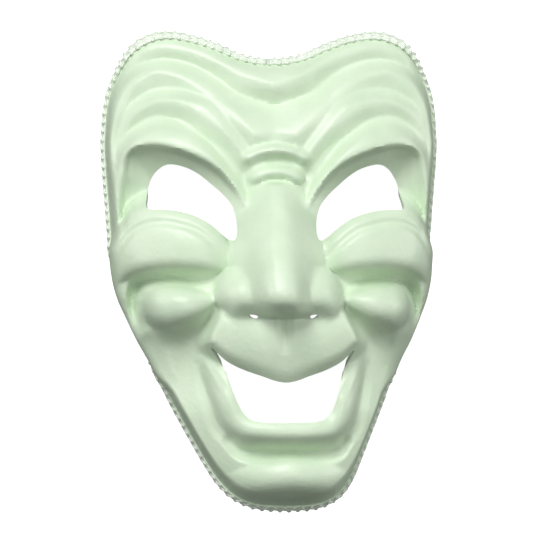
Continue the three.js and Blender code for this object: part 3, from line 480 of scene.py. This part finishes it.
shell_mesh = bmesh.new()
bmesh.ops.create_grid(shell_mesh, x_segments=FACE_COLUMNS, y_segments=FACE_ROWS, size=1)
station_of = shell_mesh.verts.layers.int.new("station")
for vert in shell_mesh.verts:
    i = round((vert.co.x + 1) / 2 * FACE_COLUMNS)
    j = round((vert.co.y + 1) / 2 * FACE_ROWS)
    u = column_share(i / FACE_COLUMNS)
    v = j / FACE_ROWS
    corners = mix(mix(chin_edge[0], chin_edge[-1], u), mix(crown_edge[0], crown_edge[-1], u), v)
    place = mix(chin_edge[i], crown_edge[i], v) + mix(left_edge[j], right_edge[j], u) - corners
    vert.co = (*place, 0)
    if j == 0:
        vert[station_of] = i
    elif i == FACE_COLUMNS:
        vert[station_of] = FACE_COLUMNS + j
    elif j == FACE_ROWS:
        vert[station_of] = 2 * FACE_COLUMNS + FACE_ROWS - i
    elif i == 0:
        vert[station_of] = 2 * FACE_COLUMNS + 2 * FACE_ROWS - j
rim_edges = [edge for edge in shell_mesh.edges if edge.is_boundary]

mouth = MOUTH_HALF + mirrored(MOUTH_HALF[1:-1])[::-1]
for contour in (EYE_HOLE, mirrored(EYE_HOLE), NOSTRIL, mirrored(NOSTRIL), mouth):
    cut_opening(shell_mesh, contour)
flat = np.array([vert.co.xy for vert in shell_mesh.verts])
for vert, z in zip(shell_mesh.verts, face_height(*flat.T)):
    vert.co.z = z
for step in range(1, WALL_STEPS + 1):
    ring = bmesh.ops.extrude_edge_only(shell_mesh, edges=rim_edges)["geom"]
    rim_edges = [part for part in ring if isinstance(part, bmesh.types.BMEdge)
                 and all(vert in ring for vert in part.verts)]
    wall = wall_places(stations, step / WALL_STEPS)
    for vert in (part for part in ring if isinstance(part, bmesh.types.BMVert)):
        vert.co = wall[vert[station_of]]
drawn = swayed([vert.co for vert in shell_mesh.verts])
for vert, place in zip(shell_mesh.verts, drawn):
    vert.co = place
bmesh.ops.recalc_face_normals(shell_mesh, faces=shell_mesh.faces)
if sum(face.normal.z for face in shell_mesh.faces) < 0:
    bmesh.ops.reverse_faces(shell_mesh, faces=shell_mesh.faces)
solid_box = np.array(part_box("mask_shell")) / MILLIMETRE
to_solid = solid_box.mean(axis=0) - (drawn.min(axis=0) + drawn.max(axis=0)) / 2
to_solid[2] = 0
bmesh.ops.translate(shell_mesh, verts=shell_mesh.verts, vec=to_solid)
bmesh.ops.scale(shell_mesh, verts=shell_mesh.verts, vec=(MILLIMETRE, MILLIMETRE, MILLIMETRE))


def finished(bm, name):
    """Makes a named object of a bmesh, smooth but for the edges marked sharp."""
    mesh = bpy.data.meshes.new(name)
    bm.to_mesh(mesh)
    bm.free()
    mesh.polygons.foreach_set("use_smooth", [True] * len(mesh.polygons))
    piece = bpy.data.objects.new(name, mesh)
    bpy.context.collection.objects.link(piece)
    return piece


def new_material(name):
    """A material with its nodes, links and main shader."""
    material = bpy.data.materials.new(name)
    material.use_nodes = True
    tree = material.node_tree
    return material, tree.nodes, tree.links, tree.nodes["Principled BSDF"]


def noise(nodes, links, scale, detail):
    """A noise on the piece's own coordinates; the scale is in waves to a metre."""
    place = nodes.new("ShaderNodeTexCoord")
    texture = nodes.new("ShaderNodeTexNoise")
    texture.inputs["Scale"].default_value = scale
    texture.inputs["Detail"].default_value = detail
    links.new(place.outputs["Object"], texture.inputs["Vector"])
    return texture.outputs["Fac"]


def ramp(nodes, links, source, stops):
    """Colours by a value, from (position, colour) stops."""
    colours = nodes.new("ShaderNodeValToRGB")
    while len(colours.color_ramp.elements) < len(stops):
        colours.color_ramp.elements.new(0.5)
    for element, (position, colour) in zip(colours.color_ramp.elements, stops):
        element.position = position
        element.color = (*colour, 1)
    links.new(source, colours.inputs["Fac"])
    return colours.outputs["Color"]


def bump(nodes, links, height, distance, strength, under=None):
    """Small relief in metres, on top of the relief that is under it."""
    relief = nodes.new("ShaderNodeBump")
    relief.inputs["Distance"].default_value = distance
    relief.inputs["Strength"].default_value = strength
    links.new(height, relief.inputs["Height"])
    if under is not None:
        links.new(under, relief.inputs["Normal"])
    return relief.outputs["Normal"]


SHARP_ANGLE = 50


def thickened(piece, thickness):
    """Gives a skin its thickness on the inner side and marks the cut edges sharp."""
    skin = piece.modifiers.new("thickness", "SOLIDIFY")
    skin.thickness = thickness
    skin.offset = -1
    skin.use_even_offset = False
    thick = bpy.data.meshes.new_from_object(piece.evaluated_get(bpy.context.evaluated_depsgraph_get()))
    piece.modifiers.clear()
    solid = bmesh.new()
    solid.from_mesh(thick)
    for edge in solid.edges:
        edge.smooth = edge.calc_face_angle(0) < math.radians(SHARP_ANGLE)
    solid.to_mesh(piece.data)
    solid.free()
    bpy.data.meshes.remove(thick)


shell = finished(shell_mesh, "mask_shell_pressed")
thickened(shell, SHEET_THICKNESS * MILLIMETRE)
sheet_white, nodes, links, shader = new_material("pressed_sheet_white")
cloud = noise(nodes, links, scale=60, detail=4)
shades = [(0.3, (0.64, 0.78, 0.585)), (0.55, (0.69, 0.82, 0.63)), (0.75, (0.725, 0.845, 0.665))]
links.new(ramp(nodes, links, cloud, shades), shader.inputs["Base Color"])
shader.inputs["Roughness"].default_value = 0.38
shader.inputs["Specular IOR Level"].default_value = 0.5
pebbles = noise(nodes, links, scale=420, detail=2)
pebbled = bump(nodes, links, pebbles, distance=0.00025, strength=0.7)
grain = noise(nodes, links, scale=2200, detail=3)
grained = bump(nodes, links, grain, distance=0.00006, strength=0.6, under=pebbled)
links.new(grained, shader.inputs["Normal"])
shell.data.materials.append(sheet_white)
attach(shell, "root")
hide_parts("mask_shell")

# The braid is upholstery gimp: two fine cords looped side by side over a narrow woven tape.
# One length is glued round the outside of the edge, and its ends meet at the top of the forehead.
BRAID_WIDTH = 6.4
BRAID_LIFT = 1.2
MIDDLE_RISE = BRAID_LIFT + BRAID_WIDTH / 2
TAPE_THICKNESS = 0.9
TAPE_DOME = 0.35
TAPE_INSET = 0.4
TAPE_STEPS = 620
TAPE_ROWS = 4
CORD_RADIUS = 0.62
LOOP_PITCH = 4.2
LOOP_REACH = 1.55
LOOP_BACK = 1.35
CORD_OFFSET = 1.0
CORD_STAND = 0.5
CORD_CROSSING = 0.4
STEPS_TO_A_LOOP = 14
SEAM_X = -3.0
SEAM_GAP = 0.5
SPARE_RISE = 1.5
RISE_ROWS = 19
RISES = np.linspace(0, BRAID_LIFT + BRAID_WIDTH + SPARE_RISE, RISE_ROWS)
TOP_SHARE = 0.2
WALL_ROWS = 15

wall_shares = np.linspace(1, TOP_SHARE, WALL_ROWS)
every_share = np.repeat(wall_shares, len(stations))
wall = swayed(wall_places(np.tile(stations, (len(wall_shares), 1)), every_share)) + to_solid
wall = wall.reshape(len(wall_shares), len(stations), 3)
start = max((s for s in range(len(stations)) if wall[0, s, 1] > 0 and wall[0, s, 0] > SEAM_X),
            key=lambda s: -wall[0, s, 0])
wall = np.roll(wall, -start, axis=1)
climbed = np.cumsum(np.linalg.norm(np.diff(wall, axis=0, prepend=wall[:1]), axis=2), axis=0)
strip = np.array([[np.interp(RISES, climbed[:, s], wall[:, s, axis]) for axis in range(3)]
                  for s in range(len(stations))])
strip = np.append(strip, strip[:1], axis=0)
ahead = np.gradient(strip, axis=0)
ahead[0] = ahead[-1] = (ahead[0] + ahead[-1]) / 2
upward = np.gradient(strip, axis=2)
outward = np.cross(ahead, upward, axis=1)
outward /= np.linalg.norm(outward, axis=1)[:, None]
middle_row = np.argmin(np.abs(RISES - MIDDLE_RISE))
went = np.append(0, np.cumsum(np.linalg.norm(np.diff(strip[:, :, middle_row], axis=0), axis=1)))


def on_wall(along, rise, stand):
    """Places a length along the edge, a rise up the wall and a height off it."""
    s = np.interp(along, went, np.arange(len(went)))
    r = np.interp(rise, RISES, np.arange(len(RISES)))
    s0 = np.minimum(s.astype(int), len(went) - 2)
    r0 = np.minimum(r.astype(int), len(RISES) - 2)
    ds, dr = (s - s0)[:, None], (r - r0)[:, None]

    def between(grid):
        low = mix(grid[s0, :, r0], grid[s0 + 1, :, r0], ds)
        high = mix(grid[s0, :, r0 + 1], grid[s0 + 1, :, r0 + 1], ds)
        return mix(low, high, dr)

    return (between(strip) + between(outward) * np.asarray(stand)[:, None]) * MILLIMETRE


tape_mesh = bmesh.new()
bmesh.ops.create_grid(tape_mesh, x_segments=TAPE_STEPS, y_segments=TAPE_ROWS, size=1)
tape = np.array([vert.co.xy for vert in tape_mesh.verts])
tape_run = (tape[:, 0] + 1) / 2 * (went[-1] - SEAM_GAP) + SEAM_GAP / 2
tape_rise = MIDDLE_RISE + tape[:, 1] * (BRAID_WIDTH / 2 - CORD_RADIUS - TAPE_INSET)
tape_stand = TAPE_THICKNESS + TAPE_DOME * (1 - tape[:, 1] ** 2)
for vert, place in zip(tape_mesh.verts, on_wall(tape_run, tape_rise, tape_stand)):
    vert.co = place
braid_tape = finished(tape_mesh, "braid_tape")
thickened(braid_tape, TAPE_THICKNESS * MILLIMETRE)

cord_run = went[-1] - SEAM_GAP - 2 * LOOP_BACK
loops = round(cord_run / LOOP_PITCH)
turn = np.linspace(0, 2 * np.pi * loops, loops * STEPS_TO_A_LOOP + 1)
cords = bpy.data.curves.new("braid_cords", "CURVE")
cords.dimensions = "3D"
cords.bevel_depth = CORD_RADIUS * MILLIMETRE
cords.bevel_resolution = 1
cords.use_fill_caps = True
for side, lead in ((1, 0.0), (-1, np.pi)):
    phase = turn + lead
    forward = turn / turn[-1] * cord_run + SEAM_GAP / 2 + LOOP_BACK
    along = forward - LOOP_BACK * np.sin(phase)
    rise = MIDDLE_RISE + side * (CORD_OFFSET + LOOP_REACH * np.cos(phase))
    stand = TAPE_THICKNESS + CORD_RADIUS * (CORD_STAND + CORD_CROSSING * np.sin(phase))
    cord = cords.splines.new("POLY")
    cord.points.add(len(turn) - 1)
    places = on_wall(along, rise, stand)
    cord.points.foreach_set("co", np.column_stack([places, np.ones(len(turn))]).ravel())
    cord.use_smooth = True
braid_cords = bpy.data.objects.new("braid_cords", cords)
bpy.context.collection.objects.link(braid_cords)

gimp_white, nodes, links, shader = new_material("gimp_white")
yarn_cloud = noise(nodes, links, scale=150, detail=3)
yarn_shades = [(0.3, (0.76, 0.85, 0.72)), (0.7, (0.86, 0.92, 0.82))]
links.new(ramp(nodes, links, yarn_cloud, yarn_shades), shader.inputs["Base Color"])
shader.inputs["Roughness"].default_value = 0.75
shader.inputs["Sheen Weight"].default_value = 0.25
yarn = noise(nodes, links, scale=3500, detail=2)
links.new(bump(nodes, links, yarn, distance=0.0001, strength=0.7), shader.inputs["Normal"])
for piece in (braid_tape, braid_cords):
    piece.data.materials.append(gimp_white)
    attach(piece, "root")
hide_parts("edge_braid")

# The stage: a white glowing table under the mask, a large soft key light beyond the crown,
# a weaker light low on each side and one overhead. A distant camera looks down on the face,
# from slightly to the left.
TABLE_REACH = 3
TABLE_DROP = 0.0005
table_mesh = bmesh.new()
bmesh.ops.create_grid(table_mesh, x_segments=1, y_segments=1, size=TABLE_REACH)
table = finished(table_mesh, "table")
table_white, _, _, shader = new_material("table_white")
shader.inputs["Base Color"].default_value = (0.9, 0.9, 0.9, 1)
shader.inputs["Roughness"].default_value = 0.9
shader.inputs["Emission Color"].default_value = (1, 1, 1, 1)
shader.inputs["Emission Strength"].default_value = 0.9
table.data.materials.append(table_white)
table.location.z = -TABLE_DROP
table.visible_diffuse = False
table.visible_glossy = False


MASK_MIDDLE = Vector((0, 0, 0.03))


def soft_light(name, place, size, power):
    light = bpy.data.lights.new(name, "AREA")
    light.size = size
    light.energy = power
    lamp = bpy.data.objects.new(name, light)
    lamp.location = place
    lamp.rotation_euler = (MASK_MIDDLE - Vector(place)).to_track_quat("-Z", "Y").to_euler()
    bpy.context.collection.objects.link(lamp)


soft_light("key", place=(-0.45, 1.2, 1.6), size=0.8, power=31)
soft_light("left_wall", place=(-1.6, 0.3, 0.5), size=1.0, power=7)
soft_light("right_wall", place=(1.6, 0.3, 0.5), size=1.0, power=9)
soft_light("fill", place=(0.2, -0.1, 2.2), size=1.0, power=9)
world = bpy.data.worlds.new("studio")
world.use_nodes = True
sky = world.node_tree.nodes["Background"]
sky.inputs["Color"].default_value = (0.93, 1.0, 0.93, 1)
sky.inputs["Strength"].default_value = 0.12
bpy.context.scene.world = world
bpy.context.scene.view_settings.view_transform = "Standard"

CAMERA_DISTANCE = 2.6
CAMERA_YAW = 3.5
PHOTO_PIXELS = 540
PIXEL_SIZE = 0.476
PHOTO_WIDTH = PHOTO_PIXELS * PIXEL_SIZE * MILLIMETRE
PHOTO_MIDDLE = (0.24, 0.48)
EDGE_LEVEL = 10
SENSOR_WIDTH = 36
lens = bpy.data.cameras.new("lens")
lens.sensor_width = SENSOR_WIDTH
lens.lens = SENSOR_WIDTH * CAMERA_DISTANCE / PHOTO_WIDTH
camera = bpy.data.objects.new("camera", lens)
aim = (Vector((*PHOTO_MIDDLE, EDGE_LEVEL)) + Vector(to_solid)) * MILLIMETRE
yaw = math.radians(CAMERA_YAW)
camera.location = aim + Vector((-math.sin(yaw), 0, math.cos(yaw))) * CAMERA_DISTANCE
camera.rotation_euler = (0, -yaw, 0)
lens.clip_end = 10
bpy.context.collection.objects.link(camera)
bpy.context.scene.camera = camera
